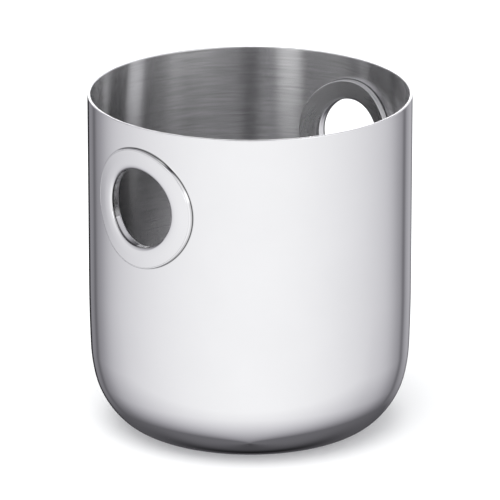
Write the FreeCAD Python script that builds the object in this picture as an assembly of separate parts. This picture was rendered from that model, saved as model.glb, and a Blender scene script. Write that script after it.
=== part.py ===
import FreeCAD, Part
import math
import os

# Champagne bucket: one drawn steel vessel with a round grip eyelet on each side.
# Each eyelet is two rings that clamp the wall: an outer ring, whose short sleeve goes
# through the hole in the wall, and a thicker inner ring. All sizes are in millimetres
# and degrees. The origin is the middle of the base plane, +Z is up, and the eyelets
# face -X (left) and +X (right).

# Vessel
HEIGHT = 212.0
OUTER_RADIUS = 100.0
WALL = 1.8
RIM_ROUND = 0.5
# The wall turns into the base through tangent arcs: radius, and the angle that each
# turns, counted from the base upwards. They add up to a quarter turn.
CORNER_ARCS = [(27.0, 43.0), (49.0, 34.5), (100.0, 10.2), (1000.0, 2.3)]
# The middle of the base is pressed up a little, so that the bucket stands on a ring.
RECESS_HEIGHT = 1.6
RECESS_RADIUS = 44.0
RECESS_STEP_RADIUS = 9.0

# Grip eyelets
EYELET_DEPTH = 51.0
OUTER_RING_RADIUS = 37.5
INNER_RING_RADIUS = 36.9
BORE_RADIUS = 24.6
SLEEVE_RADIUS = 26.6
OUTER_RING_PROUD = 2.2
INNER_RING_PROUD = 4.0
OUTER_BORE_ROUND = 3.0
INNER_BORE_ROUND = 2.2
OUTER_EDGE_ROUND = 0.5
INNER_EDGE_ROUND = 0.7

# Worked out from the sizes above
INNER_RADIUS = OUTER_RADIUS - WALL
OUTER_FACE_RADIUS = OUTER_RADIUS + OUTER_RING_PROUD
INNER_FACE_RADIUS = INNER_RADIUS - INNER_RING_PROUD
EYELET_HEIGHT = HEIGHT - EYELET_DEPTH
UP = FreeCAD.Vector(0, 0, 1)
SIDES = {"right": 0.0, "left": 180.0}
TOLERANCE = 1e-3


def corner_span():
    """How far the corner arcs reach outwards, and how far up."""
    run = 0.0
    rise = 0.0
    heading = 0.0
    for radius, turn in CORNER_ARCS:
        after = heading + math.radians(turn)
        run += radius * (math.sin(after) - math.sin(heading))
        rise += radius * (math.cos(heading) - math.cos(after))
        heading = after
    return run, rise


def vessel_steps():
    """The outside of the vessel from the axis to the rim, as (length, None) for a
    straight run and (radius, turn) for an arc, where a left turn is positive."""
    run, rise = corner_span()
    step_turn = math.degrees(math.acos(1 - RECESS_HEIGHT / (2 * RECESS_STEP_RADIUS)))
    step_run = 2 * RECESS_STEP_RADIUS * math.sin(math.radians(step_turn))
    foot_width = OUTER_RADIUS - run - RECESS_RADIUS - step_run
    steps = [(RECESS_RADIUS, None)]
    steps += [(RECESS_STEP_RADIUS, -step_turn), (RECESS_STEP_RADIUS, step_turn)]
    steps += [(foot_width, None)]
    steps += CORNER_ARCS
    steps += [(HEIGHT - rise, None)]
    return steps


def point(position):
    """A point of the half section, given as distance from the axis and height."""
    return FreeCAD.Vector(position[0], 0, position[1])


def moved(position, distance, heading):
    """The position that lies a distance along a heading, 0 being outwards."""
    return (
        position[0] + distance * math.cos(heading),
        position[1] + distance * math.sin(heading),
    )


def arc_edge(start, radius, heading, turn):
    """The edge of an arc that starts along a heading, and the position of its end."""
    side = math.copysign(math.pi / 2, turn)
    centre = moved(start, radius, heading + side)
    middle = moved(centre, radius, heading + turn / 2 - side)
    end = moved(centre, radius, heading + turn - side)
    return Part.Arc(point(start), point(middle), point(end)).toShape(), end


def vessel_line(inset):
    """Edges of the outside, or of the line that lies inset inside it, and its two ends."""
    start = (0.0, RECESS_HEIGHT + inset)
    position = start
    heading = 0.0
    edges = []
    for size, turn in vessel_steps():
        if turn is None:
            end = moved(position, size, heading)
            edges.append(Part.makeLine(point(position), point(end)))
        else:
            angle = math.radians(turn)
            radius = size - math.copysign(inset, turn)
            edge, end = arc_edge(position, radius, heading, angle)
            edges.append(edge)
            heading += angle
        position = end
    return edges, start, position


def edges_where(shape, test):
    """The edges of a shape on which every one of a few sample points passes a test."""
    found = []
    for edge in shape.Edges:
        if all(test(sample) for sample in edge.discretize(Number=9)):
            found.append(edge)
    return found


def is_near(value, target):
    return abs(value - target) < TOLERANCE


def from_axis(spot):
    """Distance of a point from the vessel's upright axis."""
    return math.hypot(spot.x, spot.y)


def from_eyelet_axis(spot):
    """Distance of a point from the line through the middles of both eyelets."""
    return math.hypot(spot.y, spot.z - EYELET_HEIGHT)


def eyelet_rod(radius):
    """A round rod along +X from the vessel's axis, in line with the eyelet."""
    reach = OUTER_FACE_RADIUS + OUTER_RING_RADIUS
    start = FreeCAD.Vector(0, 0, EYELET_HEIGHT)
    return Part.makeCylinder(radius, reach, start, FreeCAD.Vector(1, 0, 0))


def wrapped_disc(disc_radius, back_radius, front_radius):
    """A round plate that is curved with the wall, between two distances from the axis."""
    low = EYELET_HEIGHT - disc_radius - WALL
    tall = 2 * (disc_radius + WALL)
    start = FreeCAD.Vector(0, 0, low)
    tube = Part.makeCylinder(front_radius, tall, start, UP)
    tube = tube.cut(Part.makeCylinder(back_radius, tall, start, UP))
    return tube.common(eyelet_rod(disc_radius))


def turned(shape, angle):
    """A copy of a right-hand piece, turned about the vessel's axis."""
    copy = shape.copy()
    copy.rotate(FreeCAD.Vector(0, 0, 0), UP, angle)
    return copy


def bucket_shell():
    """The drawn vessel, with a rounded rim and a hole through the wall for each eyelet."""
    outside, axis_outside, rim_outside = vessel_line(0.0)
    inside, axis_inside, rim_inside = vessel_line(WALL)
    rim = Part.makeLine(point(rim_outside), point(rim_inside))
    axis = Part.makeLine(point(axis_inside), point(axis_outside))
    section = Part.Face(Part.Wire(outside + [rim] + inside[::-1] + [axis]))
    shell = section.revolve(FreeCAD.Vector(0, 0, 0), UP, 360)
    rim_edges = edges_where(shell, lambda spot: is_near(spot.z, HEIGHT))
    rim_edges = [edge for edge in rim_edges if edge.isClosed()]
    shell = shell.makeFillet(RIM_ROUND, rim_edges)
    for angle in SIDES.values():
        shell = shell.cut(turned(eyelet_rod(SLEEVE_RADIUS), angle))
    return shell


def outer_ring():
    """The flat outer ring: a plate on the wall's outside, and a sleeve through the wall."""
    plate = wrapped_disc(OUTER_RING_RADIUS, OUTER_RADIUS, OUTER_FACE_RADIUS)
    sleeve = wrapped_disc(SLEEVE_RADIUS, INNER_RADIUS, OUTER_FACE_RADIUS)
    ring = plate.fuse(sleeve).removeSplitter().cut(eyelet_rod(BORE_RADIUS))
    mouth = edges_where(
        ring,
        lambda spot: is_near(from_eyelet_axis(spot), BORE_RADIUS)
        and is_near(from_axis(spot), OUTER_FACE_RADIUS),
    )
    ring = ring.makeFillet(OUTER_BORE_ROUND, mouth)
    edge = edges_where(
        ring,
        lambda spot: is_near(from_eyelet_axis(spot), OUTER_RING_RADIUS)
        and is_near(from_axis(spot), OUTER_FACE_RADIUS),
    )
    return ring.makeFillet(OUTER_EDGE_ROUND, edge)


def inner_ring():
    """The thicker inner ring, with a round into the bore for the fingers."""
    ring = wrapped_disc(INNER_RING_RADIUS, INNER_FACE_RADIUS, INNER_RADIUS)
    ring = ring.cut(eyelet_rod(BORE_RADIUS))
    mouth = edges_where(
        ring,
        lambda spot: is_near(from_eyelet_axis(spot), BORE_RADIUS)
        and is_near(from_axis(spot), INNER_FACE_RADIUS),
    )
    ring = ring.makeFillet(INNER_BORE_ROUND, mouth)
    edge = edges_where(
        ring,
        lambda spot: is_near(from_eyelet_axis(spot), INNER_RING_RADIUS)
        and is_near(from_axis(spot), INNER_FACE_RADIUS),
    )
    return ring.makeFillet(INNER_EDGE_ROUND, edge)


def build():
    """Every piece of the bucket by its node name."""
    pieces = {"bucket_shell": bucket_shell()}
    rings = {"outer_ring": outer_ring(), "inner_ring": inner_ring()}
    for side, angle in SIDES.items():
        for name, ring in rings.items():
            pieces[side + "_" + name] = turned(ring, angle)
    return pieces


os.makedirs("parts", exist_ok=True)
for node, shape in build().items():
    shape.exportStep(os.path.join("parts", node + ".step"))
    box = shape.BoundBox
    print(node, shape.isValid(), len(shape.Solids), round(shape.Volume), "mm3", box)
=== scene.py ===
import math

import bpy
import numpy as np
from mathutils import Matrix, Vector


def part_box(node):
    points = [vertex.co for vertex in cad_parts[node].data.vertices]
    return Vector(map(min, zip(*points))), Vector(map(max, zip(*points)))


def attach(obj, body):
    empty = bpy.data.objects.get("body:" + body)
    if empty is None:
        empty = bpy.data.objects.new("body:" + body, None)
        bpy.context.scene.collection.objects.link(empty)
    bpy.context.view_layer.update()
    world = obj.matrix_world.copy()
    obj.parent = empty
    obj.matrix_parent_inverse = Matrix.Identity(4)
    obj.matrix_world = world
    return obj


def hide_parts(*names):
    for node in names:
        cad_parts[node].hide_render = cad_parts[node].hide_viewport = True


# The looks of a champagne bucket: a polished steel vessel, brushed inside, with a round
# grip eyelet of two steel rings on each side. Lengths are in metres and angles in degrees.

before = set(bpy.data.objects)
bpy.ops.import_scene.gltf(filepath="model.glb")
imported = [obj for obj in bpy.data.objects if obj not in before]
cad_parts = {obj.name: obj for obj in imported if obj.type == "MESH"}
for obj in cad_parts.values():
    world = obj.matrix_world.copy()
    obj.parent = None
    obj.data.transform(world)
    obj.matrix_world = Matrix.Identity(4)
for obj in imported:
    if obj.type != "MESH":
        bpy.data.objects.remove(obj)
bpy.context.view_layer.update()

# ---------------------------------------------------------------- sizes, from the frame
_, shell_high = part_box("bucket_shell")
outer_low, outer_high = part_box("right_outer_ring")
inner_low, inner_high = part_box("right_inner_ring")
HEIGHT = shell_high.z
OUTER_RADIUS = min(shell_high.x, shell_high.y)
OUTER_FACE_RADIUS = outer_high.x
INNER_RADIUS = inner_high.x
OUTER_RING_RADIUS = (outer_high.z - outer_low.z) / 2
INNER_RING_RADIUS = (inner_high.z - inner_low.z) / 2
EYELET_HEIGHT = (outer_high.z + outer_low.z) / 2

# The design's own sizes that the boxes don't give
WALL = OUTER_RADIUS - INNER_RADIUS
RIM_ROUND = 0.0005
CORNER_ARCS = [(0.027, 43.0), (0.049, 34.5), (0.100, 10.2), (1.000, 2.3)]
RECESS_HEIGHT = 0.0016
RECESS_RADIUS = 0.044
RECESS_STEP_RADIUS = 0.009
BORE_RADIUS = 0.0246
SLEEVE_RADIUS = 0.0266
INNER_RING_PROUD = 0.0040
INNER_FACE_RADIUS = INNER_RADIUS - INNER_RING_PROUD
# The outer ring's mouth is buffed into a soft round: radius and turn, from the bore out
MOUTH_ARCS = [(0.0011, 51.0), (0.0030, 19.0), (0.0065, 10.0), (0.0140, 5.0), (0.0400, 5.0)]
INNER_BORE_ROUND = 0.0022
OUTER_EDGE_ROUND = 0.0006
INNER_EDGE_ROUND = 0.0007
BACK_EDGE_ROUND = 0.0002
# A fine turned line just inside the edge of the outer ring's face
LINE_INSET = 0.0002
LINE_SIDE = 0.00024
LINE_SLOPE = 55.0

# How finely the meshes are cut
COLUMNS = 384
WINDOW_HALF_COLUMNS = 24
WINDOW_ROWS = 2 * WINDOW_HALF_COLUMNS
WINDOW_STEPS = 8
RING_COLUMNS = 288
ARC_STEP = 2.5
SMALL_ARC_STEPS = 10

# Noise in the steel: scale, detail and roughness
GRAIN_NOISE = (4.0, 3.0, 0.6)
SMUDGE_NOISE = (28.0, 4.0, 0.55)
SCUFF_NOISE = (220.0, 3.0, 0.7)
# Most of a noise lies between these two values
NOISE_SPAN = (0.3, 0.7)
# How much smudges change the colour, and the noise values where scuffs start and are full
SMUDGE_SHADE = (-0.012, 0.008)
SCUFF_SPAN = (0.35, 0.6)
SCUFF_HEIGHT = 0.002
SCUFF_ROUGHNESS = 0.2
GRAIN_DEPTH = 0.00002
# A quarter turn, which lays the brushing round the bucket
BRUSHING_TURN = 0.25
# Painted shade: how dark the seams are painted where the rings meet the wall, standing in for
# the shadow in that crevice, and how wide on each side of them
SEAM_SHADE_DEPTH = 0.92
SHELL_SEAM_SHADE_WIDTH = 0.0004
OUTER_RING_SEAM_SHADE_WIDTH = 0.00065
INNER_RING_SEAM_SHADE_WIDTH = 0.0005
# Painted light: between these heights the steel goes over from its own tone near the rim to a
# tone painted lighter below, standing in for light in the depth
PAINTED_LIGHT_HEIGHTS = (0.10, 0.15)

SIDES = {"right": 1.0, "left": -1.0}
# The shell's finishes, in the order of its materials
POLISHED, BRUSHED, GROUND = 0, 1, 2


# ---------------------------------------------------------------- outlines
def heading_vector(degrees):
    return np.array([math.cos(math.radians(degrees)), math.sin(math.radians(degrees))])


def trace(start, heading, steps, closed=False):
    """An outline drawn step by step. A step is (length, None) for a straight run and
    (radius, turn) for an arc, a left turn being positive. The solid lies on the left.
    Returns the points, and for each piece between two points its outward normals."""
    points = [np.array(start, float)]
    normals = []
    for size, turn in steps:
        if turn is None:
            points.append(points[-1] + size * heading_vector(heading))
            normal = heading_vector(heading - 90)
            normals.append((normal, normal))
            continue
        if size > 0:
            side = math.copysign(90, turn)
            centre = points[-1] + size * heading_vector(heading + side)
            count = max(SMALL_ARC_STEPS, math.ceil(abs(turn) / ARC_STEP))
            for index in range(count):
                before = heading + turn * index / count
                after = heading + turn * (index + 1) / count
                points.append(centre + size * heading_vector(after - side))
                normals.append((heading_vector(before - 90), heading_vector(after - 90)))
        heading += turn
    if closed:
        points.pop()
    return np.array(points), np.array(normals)


# ---------------------------------------------------------------- meshes with exact normals
class Skin:
    """Collects points and faces, with the true normal of the surface at each face corner."""

    def __init__(self):
        self.points = np.zeros((0, 3))
        self.faces = []
        self.normals = []
        self.finishes = []

    def add_points(self, points):
        """Adds an array of points, and returns their numbers in the same arrangement."""
        first = len(self.points)
        flat = np.reshape(points, (-1, 3))
        self.points = np.concatenate([self.points, flat])
        return np.arange(first, first + len(flat)).reshape(np.shape(points)[:-1])

    def add_faces(self, corners, normals, finish):
        """Adds four-cornered faces, each turned so that it looks the way its normals do."""
        spots = self.points[corners]
        facing = np.cross(spots[:, 2] - spots[:, 0], spots[:, 3] - spots[:, 1])
        wrong = (facing * normals.sum(1)).sum(-1) < 0
        self.faces.append(np.where(wrong[:, None], corners[:, ::-1], corners))
        self.normals.append(np.where(wrong[:, None, None], normals[:, ::-1], normals))
        self.finishes.append(np.full(len(corners), finish))

    def add_strip(self, low, high, low_normals, high_normals, finish, kept=None):
        """Adds the faces between two closed rows of points, or those of them that are kept."""
        corners = np.stack([low, np.roll(low, -1), np.roll(high, -1), high], -1)
        normals = [low_normals, np.roll(low_normals, -1, 0),
                   np.roll(high_normals, -1, 0), high_normals]
        normals = np.stack(normals, 1)
        if kept is not None:
            corners = corners[kept]
            normals = normals[kept]
        self.add_faces(corners, normals, finish)

    def make_object(self, name, materials):
        """The finished object. A face with two corners at one point becomes a triangle."""
        faces = np.concatenate(self.faces)
        normals = np.concatenate(self.normals)
        different = faces != np.roll(faces, 1, axis=1)
        mesh = bpy.data.meshes.new(name)
        rows = [face[mask].tolist() for face, mask in zip(faces, different)]
        mesh.from_pydata(self.points.tolist(), [], rows)
        for material in materials:
            mesh.materials.append(material)
        mesh.polygons.foreach_set("material_index", np.concatenate(self.finishes))
        mesh.polygons.foreach_set("use_smooth", [True] * len(rows))
        mesh.normals_split_custom_set(normals[different].tolist())
        mesh.update()
        obj = bpy.data.objects.new(name, mesh)
        bpy.context.scene.collection.objects.link(obj)
        return obj


def unit(vectors):
    return vectors / np.linalg.norm(vectors, axis=-1, keepdims=True)


# ---------------------------------------------------------------- the vessel
def arc_span(arcs):
    """How far a row of tangent arcs reaches along its first heading, and across it."""
    run = rise = heading = 0.0
    for radius, turn in arcs:
        after = heading + math.radians(turn)
        run += radius * (math.sin(after) - math.sin(heading))
        rise += radius * (math.cos(heading) - math.cos(after))
        heading = after
    return run, rise


def vessel_steps():
    """The half section's steps in four parts: the base and its corner from the middle out,
    the wall going up, the rim, and the way back from the wall's foot to the middle inside.
    Beside the eyelets the wall is cut into rows as far apart as its columns."""
    run, rise = arc_span(CORNER_ARCS)
    step_turn = math.degrees(math.acos(1 - RECESS_HEIGHT / (2 * RECESS_STEP_RADIUS)))
    step_run = 2 * RECESS_STEP_RADIUS * math.sin(math.radians(step_turn))
    foot = OUTER_RADIUS - run - RECESS_RADIUS - step_run
    base = [(RECESS_RADIUS, None)]
    base += [(RECESS_STEP_RADIUS, -step_turn), (RECESS_STEP_RADIUS, step_turn)]
    base += [(foot, None)]
    base += CORNER_ARCS
    half = OUTER_RADIUS * math.sin(2 * math.pi * WINDOW_HALF_COLUMNS / COLUMNS)
    wall = [(EYELET_HEIGHT - half - rise, None)]
    wall += [(2 * half / WINDOW_ROWS, None)] * WINDOW_ROWS
    wall += [(HEIGHT - RIM_ROUND - EYELET_HEIGHT - half, None)]
    rim = [(RIM_ROUND, 90), (WALL - 2 * RIM_ROUND, None), (RIM_ROUND, 90)]
    inside = []
    for size, turn in reversed(base):
        if turn is None:
            inside.append((size, None))
        else:
            inside.append((size - math.copysign(WALL, turn), -turn))
    return base, wall, rim, inside


def unit_circle():
    """Unit vectors from the bucket's axis to each column of the vessel."""
    angles = 2 * np.pi * np.arange(COLUMNS) / COLUMNS
    return np.stack([np.cos(angles), np.sin(angles), 0 * angles], -1)


def add_vessel_points(skin, outline, around):
    """Adds the vessel's points, and returns their numbers by row and column. The first
    and the last row lie on the axis, so each of them is one point."""
    numbers = np.zeros((len(outline), COLUMNS), int)
    for row, (radius, height) in enumerate(outline):
        if row in (0, len(outline) - 1):
            numbers[row] = skin.add_points([[0.0, 0.0, height]])[0]
        else:
            numbers[row] = skin.add_points(radius * around + [0.0, 0.0, height])
    return numbers


def columns_beside_windows():
    """Which columns of faces lie outside the windows round the two eyelets."""
    offsets = (np.arange(COLUMNS) + COLUMNS // 4) % (COLUMNS // 2) - COLUMNS // 4
    return (offsets < -WINDOW_HALF_COLUMNS) | (offsets >= WINDOW_HALF_COLUMNS)


def cut_hole(skin, numbers, windows, side):
    """Fills the windows in the wall's outside and inside round a hole, and lines the hole."""
    edges = []
    for finish, first in windows.items():
        grid = numbers[first:first + WINDOW_ROWS + 1]
        upwards = grid if finish == POLISHED else grid[::-1]
        edges.append(fill_window(skin, upwards, side, finish))
    normals = hole_directions(skin.points[edges[0]]) * -1.0
    skin.add_strip(edges[0], edges[1], normals, normals, POLISHED)


def shell_skin():
    """The vessel: a turned surface with a round hole behind each eyelet."""
    base, wall, rim, inside = vessel_steps()
    outline, slopes = trace((0.0, RECESS_HEIGHT), 0.0, base + wall + rim + wall[::-1] + inside)
    wall_start = len(trace((0.0, 0.0), 0.0, base)[1])
    rim_start = wall_start + len(wall)
    inner_start = rim_start + len(trace((0.0, 0.0), 0.0, rim)[1])
    windows = {POLISHED: wall_start + 1, BRUSHED: inner_start + 1}
    around = unit_circle()
    beside_windows = columns_beside_windows()
    skin = Skin()
    numbers = add_vessel_points(skin, outline, around)
    for row, (low, high) in enumerate(slopes):
        in_window = any(first <= row < first + WINDOW_ROWS for first in windows.values())
        finish = POLISHED
        if row >= rim_start:
            finish = GROUND if row < inner_start else BRUSHED
        low_normals = low[0] * around + [0.0, 0.0, low[1]]
        high_normals = high[0] * around + [0.0, 0.0, high[1]]
        skin.add_strip(numbers[row], numbers[row + 1], low_normals, high_normals,
                       finish, beside_windows if in_window else None)
    for side in SIDES.values():
        cut_hole(skin, numbers, windows, side)
    return skin


def hole_directions(points):
    """Unit vectors from an eyelet's axis to points round it."""
    return unit((points - [0.0, 0.0, EYELET_HEIGHT]) * [0.0, 1.0, 1.0])


def window_border(numbers, side):
    """The numbers of the points round one window in the wall's grid, in order."""
    middle = 0 if side > 0 else COLUMNS // 2
    half = WINDOW_HALF_COLUMNS
    columns = [(middle + offset) % COLUMNS for offset in range(-half, half + 1)]
    grid = numbers[:, columns]
    return np.concatenate([grid[0, :-1], grid[:-1, -1], grid[-1, :0:-1], grid[:0:-1, 0]])


def fill_window(skin, numbers, side, finish):
    """Fills a window in the wall's grid, up to the round hole that the eyelet's sleeve
    goes through, and returns the numbers of the points round the hole."""
    border = window_border(numbers, side)
    points = skin.points[border]
    radius = np.hypot(points[0][0], points[0][1])
    flat = points - [0.0, 0.0, EYELET_HEIGHT]
    circle = hole_directions(points) * SLEEVE_RADIUS
    facing = 1.0 if finish == POLISHED else -1.0
    loop = border
    for step in range(1, WINDOW_STEPS + 1):
        share = step / WINDOW_STEPS
        spots = (1 - share) * flat + share * circle
        spots[:, 0] = side * np.sqrt(radius**2 - spots[:, 1] ** 2)
        inner = skin.add_points(spots + [0.0, 0.0, EYELET_HEIGHT])
        normals = [facing * unit(skin.points[row] * [1.0, 1.0, 0.0]) for row in (loop, inner)]
        skin.add_strip(loop, inner, *normals, finish)
        loop = inner
    return loop


# ---------------------------------------------------------------- the eyelet rings
def outer_ring_outline():
    """The outer ring's section, as distance from the eyelet's axis and from the bucket's."""
    depth = OUTER_FACE_RADIUS - INNER_RADIUS
    plate = OUTER_FACE_RADIUS - OUTER_RADIUS
    mouth_drop, mouth_width = arc_span(MOUTH_ARCS)
    steps = [(depth - mouth_drop, None), (0, 90)]
    steps += [(SLEEVE_RADIUS - BORE_RADIUS, None), (0, 90)]
    steps += [(OUTER_RADIUS - INNER_RADIUS, None), (0, -90)]
    steps += [(OUTER_RING_RADIUS - SLEEVE_RADIUS - BACK_EDGE_ROUND, None)]
    steps += [(BACK_EDGE_ROUND, 90)]
    steps += [(plate - BACK_EDGE_ROUND - OUTER_EDGE_ROUND, None), (OUTER_EDGE_ROUND, 90)]
    line_width = 2 * LINE_SIDE * math.cos(math.radians(LINE_SLOPE))
    steps += [(LINE_INSET, None), (0, LINE_SLOPE), (LINE_SIDE, None), (0, -2 * LINE_SLOPE)]
    steps += [(LINE_SIDE, None), (0, LINE_SLOPE)]
    edge_width = OUTER_EDGE_ROUND + LINE_INSET + line_width
    steps += [(OUTER_RING_RADIUS - edge_width - BORE_RADIUS - mouth_width, None)]
    steps += MOUTH_ARCS[::-1]
    start = (BORE_RADIUS, OUTER_FACE_RADIUS - mouth_drop)
    return trace(start, 270.0, steps, closed=True)


def inner_ring_outline():
    """The inner ring's section, as distance from the eyelet's axis and from the bucket's."""
    depth = INNER_RADIUS - INNER_FACE_RADIUS
    width = INNER_RING_RADIUS - BORE_RADIUS
    steps = [(depth - INNER_BORE_ROUND, None), (INNER_BORE_ROUND, 90)]
    steps += [(width - INNER_BORE_ROUND - INNER_EDGE_ROUND, None), (INNER_EDGE_ROUND, 90)]
    steps += [(depth - INNER_EDGE_ROUND - BACK_EDGE_ROUND, None), (BACK_EDGE_ROUND, 90)]
    steps += [(width - BACK_EDGE_ROUND, None)]
    return trace((BORE_RADIUS, INNER_RADIUS), 270.0, steps, closed=True)


def ring_spots(reach, depth, side):
    """Points round an eyelet at one distance from its axis and one from the bucket's."""
    angles = 2 * np.pi * np.arange(RING_COLUMNS) / RING_COLUMNS
    cos, sin = np.cos(angles), np.sin(angles)
    x = np.sqrt(depth**2 - (reach * cos) ** 2)
    return np.stack([side * x, side * reach * cos, reach * sin + EYELET_HEIGHT], -1)


def ring_normals(spots, slope):
    """Normals of a ring's surface there, where its section has a given outward normal."""
    outwards = unit(spots * [1.0, 1.0, 0.0])
    return unit(slope[0] * hole_directions(spots) + slope[1] * outwards)


def ring_skin(outline, slopes, side, polished_pieces):
    """Sweeps a ring's section round the eyelet's axis, bent to follow the wall. So many
    pieces of the outline, counted from the bore on, have the ring's second finish."""
    skin = Skin()
    rows = [skin.add_points(ring_spots(*point, side)) for point in outline]
    for index, (low, high) in enumerate(slopes):
        after = (index + 1) % len(rows)
        low_normals = ring_normals(skin.points[rows[index]], low)
        high_normals = ring_normals(skin.points[rows[after]], high)
        finish = 1 if index < polished_pieces else 0
        skin.add_strip(rows[index], rows[after], low_normals, high_normals, finish)
    return skin


# ---------------------------------------------------------------- material nodes
class Nodes:
    """A short way to write node trees: each call adds a node and returns its output."""

    def __init__(self, tree):
        self.tree = tree
        self.tree.nodes.clear()

    def add(self, kind, **settings):
        node = self.tree.nodes.new(kind)
        for name, value in settings.items():
            setattr(node, name, value)
        return node

    def feed(self, socket, value):
        if isinstance(value, bpy.types.NodeSocket):
            self.tree.links.new(value, socket)
        else:
            socket.default_value = value

    def math(self, operation, *values):
        node = self.add("ShaderNodeMath", operation=operation)
        for socket, value in zip(node.inputs, values):
            self.feed(socket, value)
        return node.outputs[0]

    def remap(self, value, low, high, to_low=0.0, to_high=1.0, smooth=True):
        kind = "SMOOTHSTEP" if smooth else "LINEAR"
        node = self.add("ShaderNodeMapRange", interpolation_type=kind)
        for socket, item in zip(node.inputs, (value, low, high, to_low, to_high)):
            self.feed(socket, item)
        return node.outputs[0]

    def split(self, vector):
        node = self.add("ShaderNodeSeparateXYZ")
        self.feed(node.inputs[0], vector)
        return node.outputs[0], node.outputs[1], node.outputs[2]

    def join(self, x, y, z):
        node = self.add("ShaderNodeCombineXYZ")
        for socket, value in zip(node.inputs, (x, y, z)):
            self.feed(socket, value)
        return node.outputs[0]

    def noise(self, vector, settings):
        node = self.add("ShaderNodeTexNoise")
        self.feed(node.inputs["Vector"], vector)
        for name, value in zip(("Scale", "Detail", "Roughness"), settings):
            node.inputs[name].default_value = value
        return node.outputs[0]

    def bump(self, height, distance, strength):
        node = self.add("ShaderNodeBump")
        self.feed(node.inputs["Height"], height)
        node.inputs["Distance"].default_value = distance
        node.inputs["Strength"].default_value = strength
        return node.outputs[0]


def times(nodes, *values):
    """The product of several values."""
    product = values[0]
    for value in values[1:]:
        product = nodes.math("MULTIPLY", product, value)
    return product


def from_axis(nodes, position):
    """Distance from the bucket's upright axis."""
    x, y, _ = nodes.split(position)
    return nodes.math("SQRT", nodes.math("ADD", times(nodes, x, x), times(nodes, y, y)))


def from_eyelet_axis(nodes, position):
    """Distance from the line through the middles of both eyelets."""
    _, y, z = nodes.split(position)
    up = nodes.math("SUBTRACT", z, EYELET_HEIGHT)
    return nodes.math("SQRT", nodes.math("ADD", times(nodes, y, y), times(nodes, up, up)))


def turned_grain(nodes, angle, across, fineness):
    """A place in grain that is long round an axis and fine across it."""
    return nodes.join(nodes.math("COSINE", angle), nodes.math("SINE", angle),
                      times(nodes, across, fineness))


def wall_grain(nodes, position, fineness):
    """Grain turned about the bucket's axis."""
    x, y, z = nodes.split(position)
    across = nodes.math("ADD", z, from_axis(nodes, position))
    return turned_grain(nodes, nodes.math("ARCTAN2", y, x), across, fineness)


def ring_grain(nodes, position, fineness):
    """Grain turned about the eyelets' axis."""
    x, y, z = nodes.split(position)
    up = nodes.math("SUBTRACT", z, EYELET_HEIGHT)
    across = nodes.math("ADD", x, from_eyelet_axis(nodes, position))
    return turned_grain(nodes, nodes.math("ARCTAN2", up, y), across, fineness)


def painted_seam_shade(nodes, value, centre, width, depth):
    """Painted shade: 1 away from a line where a value meets its centre, and darker close to it,
    like the shadow in a crevice between parts.
    """
    away = nodes.math("DIVIDE", nodes.math("SUBTRACT", value, centre), width)
    dark = nodes.math("EXPONENT", times(nodes, away, away, -1.0))
    return nodes.math("SUBTRACT", 1.0, times(nodes, dark, depth))


def new_material(name, shader_kind):
    """A material that shows one shader: the material, its nodes and the shader."""
    material = bpy.data.materials.new(name)
    material.use_nodes = True
    nodes = Nodes(material.node_tree)
    shader = nodes.add(shader_kind)
    output = nodes.add("ShaderNodeOutputMaterial")
    nodes.feed(output.inputs[0], shader.outputs[0])
    return material, nodes, shader


def steel_shade(nodes, position, lines, smudge, contrast, seam_shade_at, deep_painted_light):
    """How light the steel is at each place, as a factor of its tint, with painted seam shade
    and painted light low down.
    """
    distance, shade_place, shade_width = seam_shade_at
    height = nodes.split(position)[2]
    grain = nodes.remap(lines, *NOISE_SPAN, 1.0 - contrast, 1.0 + contrast, smooth=False)
    smudges = nodes.remap(smudge, *NOISE_SPAN, *SMUDGE_SHADE, smooth=False)
    shade = nodes.math("ADD", grain, smudges)
    # Painted shade in the crevice where a ring meets the wall
    seam_shade = painted_seam_shade(nodes, distance(nodes, position), shade_place, shade_width, SEAM_SHADE_DEPTH)
    # Painted light: the deep gain paints the steel lighter low down
    return times(nodes, shade, seam_shade, nodes.remap(height, *PAINTED_LIGHT_HEIGHTS, deep_painted_light, 1.0))


def steel_roughness(nodes, position, lines, smudge, roughness, unevenness):
    """The steel's roughness, uneven with the smudges and the grain, and scuffed low down."""
    height = nodes.split(position)[2]
    smudges = nodes.remap(smudge, *NOISE_SPAN, 1.0, 1.0 + unevenness, smooth=False)
    grain = nodes.remap(lines, *NOISE_SPAN, 0.0, unevenness, smooth=False)
    uneven = nodes.math("ADD", smudges, grain)
    scuffs = nodes.remap(nodes.noise(position, SCUFF_NOISE), *SCUFF_SPAN)
    scuffs = times(nodes, scuffs, nodes.remap(height, SCUFF_HEIGHT, 0.0), SCUFF_ROUGHNESS)
    return nodes.math("ADD", times(nodes, uneven, roughness), scuffs)


def brush(nodes, surface, anisotropy):
    """Stretches the steel's reflections across a brushing that runs round the bucket."""
    surface.inputs["Anisotropic"].default_value = anisotropy
    surface.inputs["Anisotropic Rotation"].default_value = BRUSHING_TURN
    tangent = nodes.add("ShaderNodeTangent", direction_type="RADIAL", axis="Z")
    nodes.feed(surface.inputs["Tangent"], tangent.outputs[0])


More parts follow.
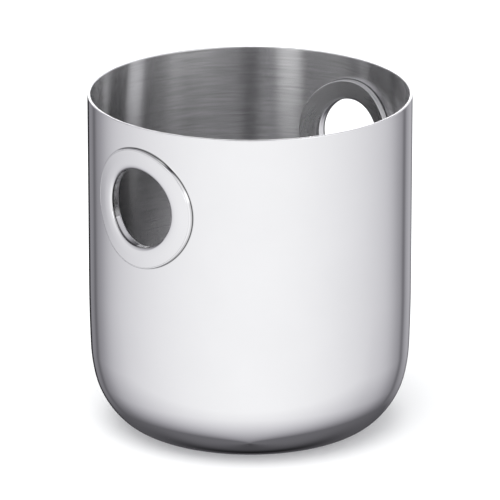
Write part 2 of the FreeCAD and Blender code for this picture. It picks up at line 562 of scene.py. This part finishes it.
def steel(name, tint, gloss, grain, seam_shade_at, anisotropy=0.0, deep_painted_light=1.0):
    """Stainless steel with a fine turned grain, faint smudges, uneven gloss, scuffs on
    the edge that it stands on, and a painted shade line where a ring meets the wall, which
    stands in for the shadow in that crevice. The gloss is a roughness and how uneven it is.
    The grain is the function that lays it, its fineness, its contrast and its bump strength.
    The seam shade has a function of distance, a place and a width. The deep gain is painted
    light: how much lighter the steel is painted low down, standing in for light in the depth."""
    lay_grain, fineness, contrast, bump_strength = grain
    material, nodes, surface = new_material(name, "ShaderNodeBsdfPrincipled")
    position = nodes.add("ShaderNodeTexCoord").outputs["Object"]
    lines = nodes.noise(lay_grain(nodes, position, fineness), GRAIN_NOISE)
    smudge = nodes.noise(position, SMUDGE_NOISE)
    colour = nodes.add("ShaderNodeVectorMath", operation="SCALE")
    colour.inputs[0].default_value = tint
    shade = steel_shade(nodes, position, lines, smudge, contrast, seam_shade_at, deep_painted_light)
    nodes.feed(colour.inputs["Scale"], shade)
    nodes.feed(surface.inputs["Base Color"], colour.outputs[0])
    surface.inputs["Metallic"].default_value = 1.0
    nodes.feed(surface.inputs["Roughness"],
               steel_roughness(nodes, position, lines, smudge, *gloss))
    nodes.feed(surface.inputs["Normal"], nodes.bump(lines, GRAIN_DEPTH, bump_strength))
    if anisotropy:
        brush(nodes, surface, anisotropy)
    return material


# ---------------------------------------------------------------- the studio
# The camera: its turn about the bucket and its tilt down, how far from the bucket's axis
# and how far above the rim it is, and its lens and sensor in millimetres
CAMERA_AZIMUTH = -47.84
CAMERA_PITCH = 18.44
CAMERA_REACH = 3.3497
CAMERA_ABOVE_RIM = 1.0146
CAMERA_LENS = 409.9
CAMERA_SENSOR = 36.0
CAMERA_SEES_TO = 100.0

# The tent of light, nearly a full sphere from pole to pole
TENT_RADIUS = 12.0
TENT_POLE = 89.9
TENT_ROWS = 60
TENT_COLUMNS = 120

# The floor is a wide ring, whose tiny hole in the middle is hidden under the bucket
FLOOR_COLOR = (0.90, 0.90, 0.90, 1.0)
FLOOR_MIDDLE = 0.001
FLOOR_RADIUS = 30.0
FLOOR_COLUMNS = 96

# The overhead light: its place, its turns about X and Y, its size and its power
LIGHT_PLACE = (-0.5, -0.3, 1.8)
LIGHT_TURNS = (-9, -15)
LIGHT_SIZE = 2.0
LIGHT_POWER = 24.0
WORLD_COLOR = (0.96, 0.97, 0.98, 1.0)
WORLD_STRENGTH = 1.12


def camera_side():
    """Unit vectors, on plan, from the bucket to the camera and to the camera's right."""
    angle = math.radians(CAMERA_AZIMUTH)
    back = (math.sin(angle), -math.cos(angle))
    return back, (-back[1], back[0])


def add_camera():
    back, _ = camera_side()
    data = bpy.data.cameras.new("camera")
    data.lens = CAMERA_LENS
    data.sensor_width = CAMERA_SENSOR
    data.clip_end = CAMERA_SEES_TO
    camera = bpy.data.objects.new("camera", data)
    camera.location = (back[0] * CAMERA_REACH, back[1] * CAMERA_REACH,
                       HEIGHT + CAMERA_ABOVE_RIM)
    camera.rotation_euler = (math.radians(90 - CAMERA_PITCH), 0, math.radians(CAMERA_AZIMUTH))
    bpy.context.scene.collection.objects.link(camera)
    bpy.context.scene.camera = camera


def bell(nodes, azimuth, centre, width):
    """1 at one azimuth, falling off to both sides over a width, all in degrees."""
    away = nodes.math("WRAP", nodes.math("SUBTRACT", azimuth, math.radians(centre)),
                      math.pi, -math.pi)
    share = nodes.math("DIVIDE", away, math.radians(width))
    return nodes.math("EXPONENT", times(nodes, share, share, -1.0))


# The light that only reflections see, tuned to one arrangement of cards and dark flags.
# Below the horizon the light is a white sweep, brightest in front and falling off to the
# back, which goes over to a dim level straight down. A flag is an azimuth from the camera
# to the right, a width and a depth. A card has a brightness in place of the depth.
SWEEP_LEVEL = 1.115
SWEEP_POWER = 0.4
SWEEP_TURN = 5.0
NADIR_LEVEL = 0.165
# How far out from straight down the sweep starts, and where it is full: the distance at
# the sides, and how much that changes towards the front. The last caps where it is full.
FALL_START = (0.43, -0.45)
FALL_END = (0.92, -0.13)
FALL_END_MOST = 0.95
LOW_FLAGS = [(-145.5, 4.5, 0.42), (-140.0, 18.0, 0.36), (142.0, 4.0, 0.42), (137.0, 15.0, 0.28)]
LOW_CARDS = [(160.0, 10.0, 0.20), (-161.0, 4.0, 0.22)]
# A flag so deep that it takes all the light that a flag can
BACK_FLAG = (-174.0, 10.0, 3.0)
# However deep a flag is, this share of the light passes it
FLAG_LEAST = 0.1
# How much darker the floor is behind the bucket: azimuth, width and depth
BACK_FLOOR = (180.0, 45.0, 0.5)
# The shadow under the bucket: azimuth, width and depth, how far out it lies and its spread
UNDER_FLAG = (178.0, 38.0, 0.9, 0.52, 0.16)
# Above the horizon: a band with cards and dark flags, and over it a dome with its own.
# The edges are the heights, on a dome with a radius of 1, where one goes over to the other.
BAND_LEVEL = 0.48
BAND_FLAGS = [(0.0, 16.0, 0.97), (-118.0, 26.0, 0.8), (112.0, 14.0, 0.8)]
BAND_CARDS = [(-29.0, 10.0, 1.35), (-36.0, 5.0, 0.6), (-18.0, 5.0, 0.25), (42.0, 26.0, 1.45),
              (-66.0, 24.0, 0.5), (94.0, 5.0, 1.2), (129.0, 5.0, 1.15), (180.0, 30.0, 1.9)]
BAND_EDGES = (0.26, 0.42)
DOME_LEVEL = 0.72
DOME_FLAGS = [(0.0, 15.0, 0.95), (-118.0, 26.0, 0.55), (112.0, 14.0, 0.1), (180.0, 35.0, 0.85)]
DOME_CARDS = [(40.0, 26.0, 0.5), (-29.0, 12.0, 0.4)]
# Towards the zenith the dome darkens: from and to which height, and what is left
DOME_FALL = (0.74, 0.95, 0.20)
# The heights where the light from below goes over to the light from above
HORIZON = (0.02, 0.16)
# Over these levels the light goes from bluish to nearly white, with red as it is
TINT_LEVELS = (0.0, 1.1)
GREEN_SHARE = (0.975, 1.0)
BLUE_SHARE = (1.085, 1.02)


def with_flags(nodes, azimuth, level, flags):
    """The level with dark flags in front of it, which all let a little light through."""
    for centre, width, depth in flags:
        dark = times(nodes, bell(nodes, azimuth, centre, width), depth)
        passed = nodes.math("MAXIMUM", nodes.math("SUBTRACT", 1.0, dark), FLAG_LEAST)
        level = times(nodes, level, passed)
    return level


def with_cards(nodes, azimuth, level, cards):
    """The level with bright cards added to it."""
    for centre, width, brightness in cards:
        added = times(nodes, bell(nodes, azimuth, centre, width), brightness)
        level = nodes.math("ADD", level, added)
    return level


def low_light(nodes, azimuth, reach):
    """The light from below the horizon, by azimuth and by distance from straight down."""
    turned = nodes.math("ADD", azimuth, math.radians(SWEEP_TURN))
    facing = nodes.math("COSINE", turned)
    share = times(nodes, nodes.math("ADD", nodes.math("COSINE", azimuth), 1.0), 0.5)
    sweep = times(nodes, nodes.math("POWER", share, SWEEP_POWER), SWEEP_LEVEL)
    sweep = with_cards(nodes, azimuth, sweep, LOW_CARDS)
    sweep = with_flags(nodes, azimuth, sweep, LOW_FLAGS + [BACK_FLAG])
    start = nodes.math("ADD", times(nodes, facing, FALL_START[1]), FALL_START[0])
    end = nodes.math("ADD", times(nodes, facing, FALL_END[1]), FALL_END[0])
    end = nodes.math("MINIMUM", end, FALL_END_MOST)
    out = nodes.remap(reach, start, end, smooth=False)
    centre, width, depth, middle, spread = UNDER_FLAG
    away = nodes.math("DIVIDE", nodes.math("SUBTRACT", reach, middle), spread)
    under = nodes.math("EXPONENT", times(nodes, away, away, -1.0))
    under = times(nodes, under, bell(nodes, azimuth, centre, width), depth)
    base = times(nodes, nodes.math("SUBTRACT", 1.0, under), NADIR_LEVEL)
    base = with_flags(nodes, azimuth, base, [BACK_FLOOR])
    return nodes.math("ADD", times(nodes, sweep, out),
                      times(nodes, base, nodes.math("SUBTRACT", 1.0, out)))


def high_light(nodes, azimuth, z):
    """The light from above the horizon, by azimuth and height."""
    band = with_flags(nodes, azimuth, BAND_LEVEL, BAND_FLAGS)
    band = with_cards(nodes, azimuth, band, BAND_CARDS)
    dome = with_flags(nodes, azimuth, DOME_LEVEL, DOME_FLAGS)
    dome = with_cards(nodes, azimuth, dome, DOME_CARDS)
    fall_start, fall_end, left = DOME_FALL
    dome = times(nodes, dome, nodes.remap(z, fall_start, fall_end, 1.0, left))
    above_band = nodes.remap(z, *BAND_EDGES)
    return nodes.math("ADD", times(nodes, dome, above_band),
                      times(nodes, band, nodes.math("SUBTRACT", 1.0, above_band)))


def tent_material():
    """The light that the steel mirrors, by azimuth and height."""
    material, nodes, light = new_material("tent_light", "ShaderNodeEmission")
    material.cycles.emission_sampling = "NONE"
    position = nodes.add("ShaderNodeNewGeometry").outputs["Position"]
    scaled = nodes.add("ShaderNodeVectorMath", operation="SCALE")
    nodes.feed(scaled.inputs[0], position)
    scaled.inputs["Scale"].default_value = 1.0 / TENT_RADIUS
    x, y, z = nodes.split(scaled.outputs[0])
    back, right = camera_side()
    front = nodes.math("ADD", times(nodes, x, back[0]), times(nodes, y, back[1]))
    aside = nodes.math("ADD", times(nodes, x, right[0]), times(nodes, y, right[1]))
    azimuth = nodes.math("ARCTAN2", aside, front)
    reach = nodes.math("SQRT", nodes.math("ADD", times(nodes, x, x), times(nodes, y, y)))
    rise = nodes.remap(z, *HORIZON)
    level = nodes.math("ADD", times(nodes, high_light(nodes, azimuth, z), rise),
                       times(nodes, low_light(nodes, azimuth, reach),
                             nodes.math("SUBTRACT", 1.0, rise)))
    green = nodes.remap(level, *TINT_LEVELS, *GREEN_SHARE, smooth=False)
    blue = nodes.remap(level, *TINT_LEVELS, *BLUE_SHARE, smooth=False)
    nodes.feed(light.inputs["Color"], nodes.join(1.0, green, blue))
    nodes.feed(light.inputs["Strength"], level)
    return material


def turned_mesh(name, outline, columns):
    """A plain turned surface of an outline given as (radius, height)."""
    vertices = []
    faces = []
    for radius, height in outline:
        for column in range(columns):
            angle = 2 * math.pi * column / columns
            vertices.append((radius * math.cos(angle), radius * math.sin(angle), height))
    for row in range(len(outline) - 1):
        for column in range(columns):
            after = (column + 1) % columns
            faces.append((row * columns + column, row * columns + after,
                          (row + 1) * columns + after, (row + 1) * columns + column))
    mesh = bpy.data.meshes.new(name)
    mesh.from_pydata(vertices, [], faces)
    obj = bpy.data.objects.new(name, mesh)
    bpy.context.scene.collection.objects.link(obj)
    return obj


def add_tent():
    """A round tent of light about the bucket, which only the steel's reflections see."""
    outline = []
    for row in range(TENT_ROWS + 1):
        angle = math.radians(-TENT_POLE + 2 * TENT_POLE * row / TENT_ROWS)
        outline.append((TENT_RADIUS * math.cos(angle), TENT_RADIUS * math.sin(angle)))
    tent = turned_mesh("light_tent", outline, TENT_COLUMNS)
    tent.data.materials.append(tent_material())
    tent.visible_camera = False
    tent.visible_diffuse = False
    tent.visible_shadow = False
    tent.visible_transmission = False


def add_floor():
    """A plain pale floor, which reflections don't see."""
    material, _, surface = new_material("pale_floor", "ShaderNodeBsdfDiffuse")
    surface.inputs["Color"].default_value = FLOOR_COLOR
    floor = turned_mesh("floor", [(FLOOR_MIDDLE, 0.0), (FLOOR_RADIUS, 0.0)], FLOOR_COLUMNS)
    floor.data.materials.append(material)
    floor.visible_glossy = False


def add_light():
    """Soft overhead light and an even pale world, neither of which reflections see."""
    data = bpy.data.lights.new("overhead_light", "AREA")
    data.shape = "DISK"
    data.size = LIGHT_SIZE
    data.energy = LIGHT_POWER
    light = bpy.data.objects.new("overhead_light", data)
    light.location = LIGHT_PLACE
    light.rotation_euler = (math.radians(LIGHT_TURNS[0]), math.radians(LIGHT_TURNS[1]), 0)
    light.visible_glossy = False
    light.visible_camera = False
    bpy.context.scene.collection.objects.link(light)
    world = bpy.data.worlds.new("pale_world")
    bpy.context.scene.world = world
    world.use_nodes = True
    background = world.node_tree.nodes["Background"]
    background.inputs["Color"].default_value = WORLD_COLOR
    background.inputs["Strength"].default_value = WORLD_STRENGTH
    world.cycles_visibility.glossy = False


# ---------------------------------------------------------------- putting it together
add_camera()
bpy.context.scene.view_settings.view_transform = "Standard"
add_floor()
add_light()
add_tent()

# Where each steel gets its painted seam shade: a function of distance, a place and a width
outside_seam_shade = (from_eyelet_axis, OUTER_RING_RADIUS, SHELL_SEAM_SHADE_WIDTH)
inside_seam_shade = (from_eyelet_axis, INNER_RING_RADIUS, SHELL_SEAM_SHADE_WIDTH)
outer_ring_seam_shade = (from_axis, OUTER_RADIUS, OUTER_RING_SEAM_SHADE_WIDTH)
inner_ring_seam_shade = (from_axis, INNER_RADIUS, INNER_RING_SEAM_SHADE_WIDTH)
polished = steel("polished_steel", tint=(0.80, 0.80, 0.80), gloss=(0.04, 0.3),
                 grain=(wall_grain, 900.0, 0.002, 0.0), seam_shade_at=outside_seam_shade)
# The brushed inside is painted lighter low down: painted light for the depth
brushed = steel("brushed_steel", tint=(0.71, 0.71, 0.71), gloss=(0.23, 0.04),
                grain=(wall_grain, 280.0, 0.13, 0.1), seam_shade_at=inside_seam_shade,
                anisotropy=1.0, deep_painted_light=1.25)
ground = steel("ground_rim_steel", tint=(0.96, 0.96, 0.96), gloss=(0.24, 0.1),
               grain=(wall_grain, 900.0, 0.05, 0.1), seam_shade_at=outside_seam_shade)
outer_steel = steel("outer_ring_steel", tint=(0.80, 0.80, 0.80), gloss=(0.04, 0.3),
                    grain=(ring_grain, 700.0, 0.002, 0.0), seam_shade_at=outer_ring_seam_shade)
inner_steel = steel("inner_ring_steel", tint=(0.84, 0.84, 0.84), gloss=(0.26, 0.08),
                    grain=(ring_grain, 500.0, 0.03, 0.03), seam_shade_at=inner_ring_seam_shade)

shell = shell_skin().make_object("bucket_shell_skin", [polished, brushed, ground])
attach(shell, "root")
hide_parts("bucket_shell")

# Each ring: its outline, its materials, how much of it has the second one, and its slot
RINGS = {
    "outer_ring": (outer_ring_outline(), [outer_steel], 0, "ring_steel"),
    "inner_ring": (inner_ring_outline(), [inner_steel, outer_steel], 1, "inner_ring_steel"),
}
for side_name, side in SIDES.items():
    for ring_name, ((outline, slopes), finishes, polished_pieces, slot_name) in RINGS.items():
        node = side_name + "_" + ring_name
        skin = ring_skin(outline, slopes, side, polished_pieces)
        ring = skin.make_object(node + "_skin", finishes)
        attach(ring, "root")
        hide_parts(node)
